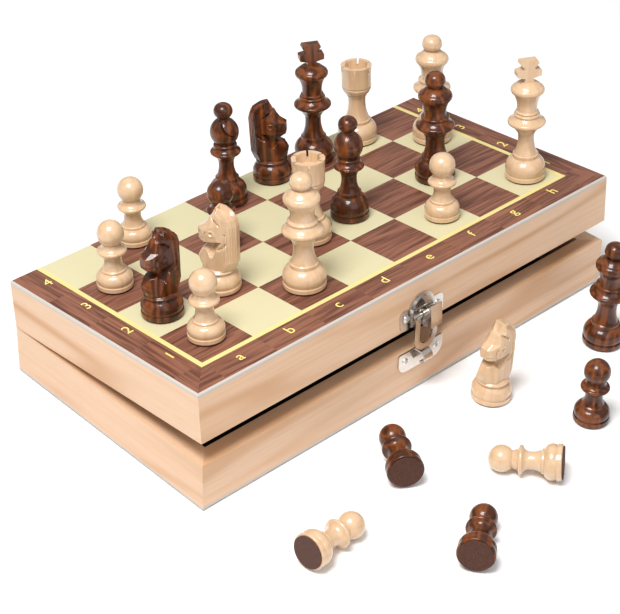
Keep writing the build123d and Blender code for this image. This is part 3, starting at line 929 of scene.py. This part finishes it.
    def head(self) -> tuple[np.ndarray, list[tuple[int, ...]]]:
        """Builds the carved part as rings of points from the neck up.

        Returns:
            The points and the faces.
        """
        heights = np.linspace(self.widths[0][0], self.widths[-1][0], self.levels)
        napes = np.interp(heights, [p[1] for p in self.nape], [p[0] for p in self.nape])
        noses = np.interp(heights, [p[1] for p in self.front], [p[0] for p in self.front])
        share = np.linspace(0.0, 1.0, self.across)
        steps = np.linspace(1.0, -1.0, self.edge_points + 2)[1:-1]
        rings = []
        for z, back, nose in zip(heights, napes, noses):
            n = back + (nose - back) * share
            y = self.half_width(n, np.full_like(n, z), back, nose)
            flat = np.ones_like(steps)
            ring_n = np.concatenate([n, flat * nose, n[::-1], flat * back])
            ring_y = np.concatenate([y, steps * y[-1], -y[::-1], -steps * y[0]])
            valley = self.ears_depth * np.clip(1.0 - np.abs(ring_y) / self.ears_gap, 0.0, 1.0)
            valley = valley * np.clip((z - self.ears_low) / self.ears_rise, 0.0, 1.0)
            rings.append(np.stack([ring_y, -ring_n, z - valley], 1))
        count = len(rings[0])
        faces = []
        for i in range(self.levels - 1):
            for j in range(count):
                k = (j + 1) % count
                low, high = i * count, (i + 1) * count
                faces.append((low + j, high + j, high + k, low + k))
        faces.append(tuple(range(count)))
        top = (self.levels - 1) * count
        pairs, gap = self.across, len(steps)
        for j in range(pairs - 1):
            mirror = 2 * pairs + gap - 1 - j
            faces.append((top + j, top + mirror, top + mirror - 1, top + j + 1))
        faces.append(tuple(top + j for j in reversed(range(pairs - 1, pairs + gap + 1))))
        ends = [2 * pairs + gap - 1 + j for j in range(gap + 1)] + [0]
        faces.append(tuple(top + j for j in reversed(ends)))
        return np.concatenate(rings), faces

    def foot(self) -> tuple[np.ndarray, list[tuple[int, ...]]]:
        """Builds the turned foot, the felt under it and the bead under the neck.

        Returns:
            The points and the faces.
        """
        outline = list(self.foot_steps)
        for low, high, bulge in self.foot_bulges:
            for t in np.linspace(0.0, 1.0, self.bulge_points):
                radius = low[0] + (high[0] - low[0]) * t + bulge * 4.0 * t * (1.0 - t)
                outline.append((radius, low[1] + (high[1] - low[1]) * t))
        outline.append(self.foot_top)
        turns = np.linspace(0.0, 2.0 * np.pi, self.segments, endpoint=False)
        circle = np.stack([np.cos(turns), np.sin(turns), np.zeros_like(turns)], 1)
        rows = [circle * radius + (0.0, 0.0, height) for radius, height in outline]
        faces = []
        for i in range(len(rows) - 1):
            for j in range(self.segments):
                k = (j + 1) % self.segments
                low, high = i * self.segments, (i + 1) * self.segments
                faces.append((low + j, low + k, high + k, high + j))
        faces.append(tuple(reversed(range(self.segments))))
        faces.append(tuple((len(rows) - 1) * self.segments + j for j in range(self.segments)))
        return np.concatenate(rows), faces

    def mesh(self) -> bpy.types.Mesh:
        """Joins the foot and the head, in metres, with the creases kept sharp."""
        foot, foot_faces = self.foot()
        head, head_faces = self.head()
        moved = [tuple(v + len(foot) for v in face) for face in head_faces]
        points = np.concatenate([foot, head]) / MM_PER_METRE
        data = bpy.data.meshes.new("knight")
        data.from_pydata(points.tolist(), [], foot_faces + moved)
        shape = bmesh.new()
        shape.from_mesh(data)
        bmesh.ops.remove_doubles(shape, verts=shape.verts, dist=1e-7)
        bmesh.ops.recalc_face_normals(shape, faces=shape.faces)
        shape.to_mesh(data)
        shape.free()
        data.shade_smooth()
        data.set_sharp_from_angle(angle=math.radians(self.crease))
        return data

    def stands(self) -> list[Stand]:
        """Where the four of them are."""
        found = []
        for name, stain, u, v, turn in (
            ("light_knight_1", Stain.LIGHT, 1.59, 1.42, -155.0),
            ("dark_knight_1", Stain.DARK, 0.48, 1.48, -95.0),
            ("dark_knight_2", Stain.DARK, 4.60, 3.53, 42.0),
        ):
            x, y = PLAY_LEFT + u * SQUARE, PLAY_NEAR + v * SQUARE
            found.append(Stand(name, stain, x, y, turn, frame["nodes"][name]["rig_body"]))
        body = frame["nodes"]["light_knight_2"]["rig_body"]
        found.append(Stand("light_knight_2", Stain.LIGHT, 0.0234, -0.1036, -92.0, body, False))
        return found

    def build(self) -> None:
        """Makes the four and puts each in its CAD piece's place."""
        for stand in self.stands():
            data = self.mesh()
            put = stand.matrix()
            data.transform(put)
            axis = (put.to_3x3() @ Vector((0.0, 0.0, 1.0))).normalized()
            wood = LacqueredWood(stand.name, stand.stain, axis, axis.dot(put.translation))
            data.materials.append(wood.material())
            made = place(f"{stand.name}_carved", data, stand.body)
            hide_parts(stand.name)


@dataclass
class Studio:
    """The floor, the light and the camera."""

    eye: Colour = (-0.57215, -0.57449, 0.58915)
    right: Colour = (0.72729, -0.68573, 0.02861)
    down: Colour = (-0.38136, -0.43843, -0.81385)
    ahead: Colour = (0.57062, 0.58100, -0.58037)
    lens: float = 107.34
    floor_size: float = 8.0

    def build(self) -> None:
        """Makes the floor, two soft lights, a pale surrounding and the camera."""
        shader = Shader("floor_white")
        shader.feed("Base Color", (0.93, 0.93, 0.93))
        shader.feed("Roughness", 0.8)
        half = self.floor_size / 2
        mesh = bpy.data.meshes.new("floor")
        corners = [(-half, -half, 0), (half, -half, 0), (half, half, 0), (-half, half, 0)]
        mesh.from_pydata([(x, y, -0.0001) for x, y, _ in corners], [], [(0, 1, 2, 3)])
        mesh.materials.append(shader.material)
        floor = bpy.data.objects.new("floor", mesh)
        bpy.context.scene.collection.objects.link(floor)
        self.lamp("key", (-0.52, -0.16, 1.16), 0.5, 17.0)
        self.lamp("fill", (-0.30, -1.10, 0.70), 0.9, 2.6)
        self.surroundings()
        camera = bpy.data.cameras.new("camera")
        camera.lens = self.lens
        camera.sensor_width = 36.0
        camera.clip_start, camera.clip_end = 0.05, 50.0
        holder = bpy.data.objects.new("camera", camera)
        columns = (Vector(self.right), -Vector(self.down), -Vector(self.ahead))
        turn = Matrix([[c[row] for c in columns] for row in range(3)]).to_4x4()
        holder.matrix_world = Matrix.Translation(self.eye) @ turn
        bpy.context.scene.collection.objects.link(holder)
        bpy.context.scene.camera = holder
        bpy.context.scene.view_settings.view_transform = "Standard"

    def lamp(self, name: str, place_at: Colour, size: float, power: float) -> None:
        """Adds a soft square light that points at the set.

        Args:
            name: The light's name.
            place_at: Where it hangs.
            size: Its side.
            power: Its strength in watts.
        """
        light = bpy.data.lights.new(name, "AREA")
        light.size, light.energy = size, power
        holder = bpy.data.objects.new(name, light)
        holder.location = place_at
        aim = Vector((0.0, 0.0, 0.03)) - Vector(place_at)
        holder.rotation_euler = aim.to_track_quat("-Z", "Y").to_euler()
        bpy.context.scene.collection.objects.link(holder)

    def surroundings(self) -> None:
        """A pale room, brighter above and darker at the horizon."""
        world = bpy.data.worlds.new("studio")
        world.use_nodes = True
        bpy.context.scene.world = world
        tree = world.node_tree
        where = tree.nodes.new("ShaderNodeTexCoord")
        split = tree.nodes.new("ShaderNodeSeparateXYZ")
        ramp = tree.nodes.new("ShaderNodeValToRGB")
        ramp.color_ramp.elements[0].color = (0.18, 0.16, 0.14, 1)
        ramp.color_ramp.elements[1].color = (1, 1, 1, 1)
        ramp.color_ramp.elements[1].position = 0.45
        tree.links.new(where.outputs["Generated"], split.inputs[0])
        tree.links.new(split.outputs[2], ramp.inputs[0])
        tree.links.new(ramp.outputs[0], tree.nodes["Background"].inputs[0])
        tree.nodes["Background"].inputs[1].default_value = 0.55


def main() -> None:
    """Builds the set's looks in order."""
    logging.basicConfig(level=logging.INFO, format="%(name)s %(message)s")
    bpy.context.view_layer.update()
    Box().dress()
    Coordinates().build()
    Latch().build()
    Men().dress()
    Knights().build()
    Studio().build()


if __name__ == "__main__":
    main()
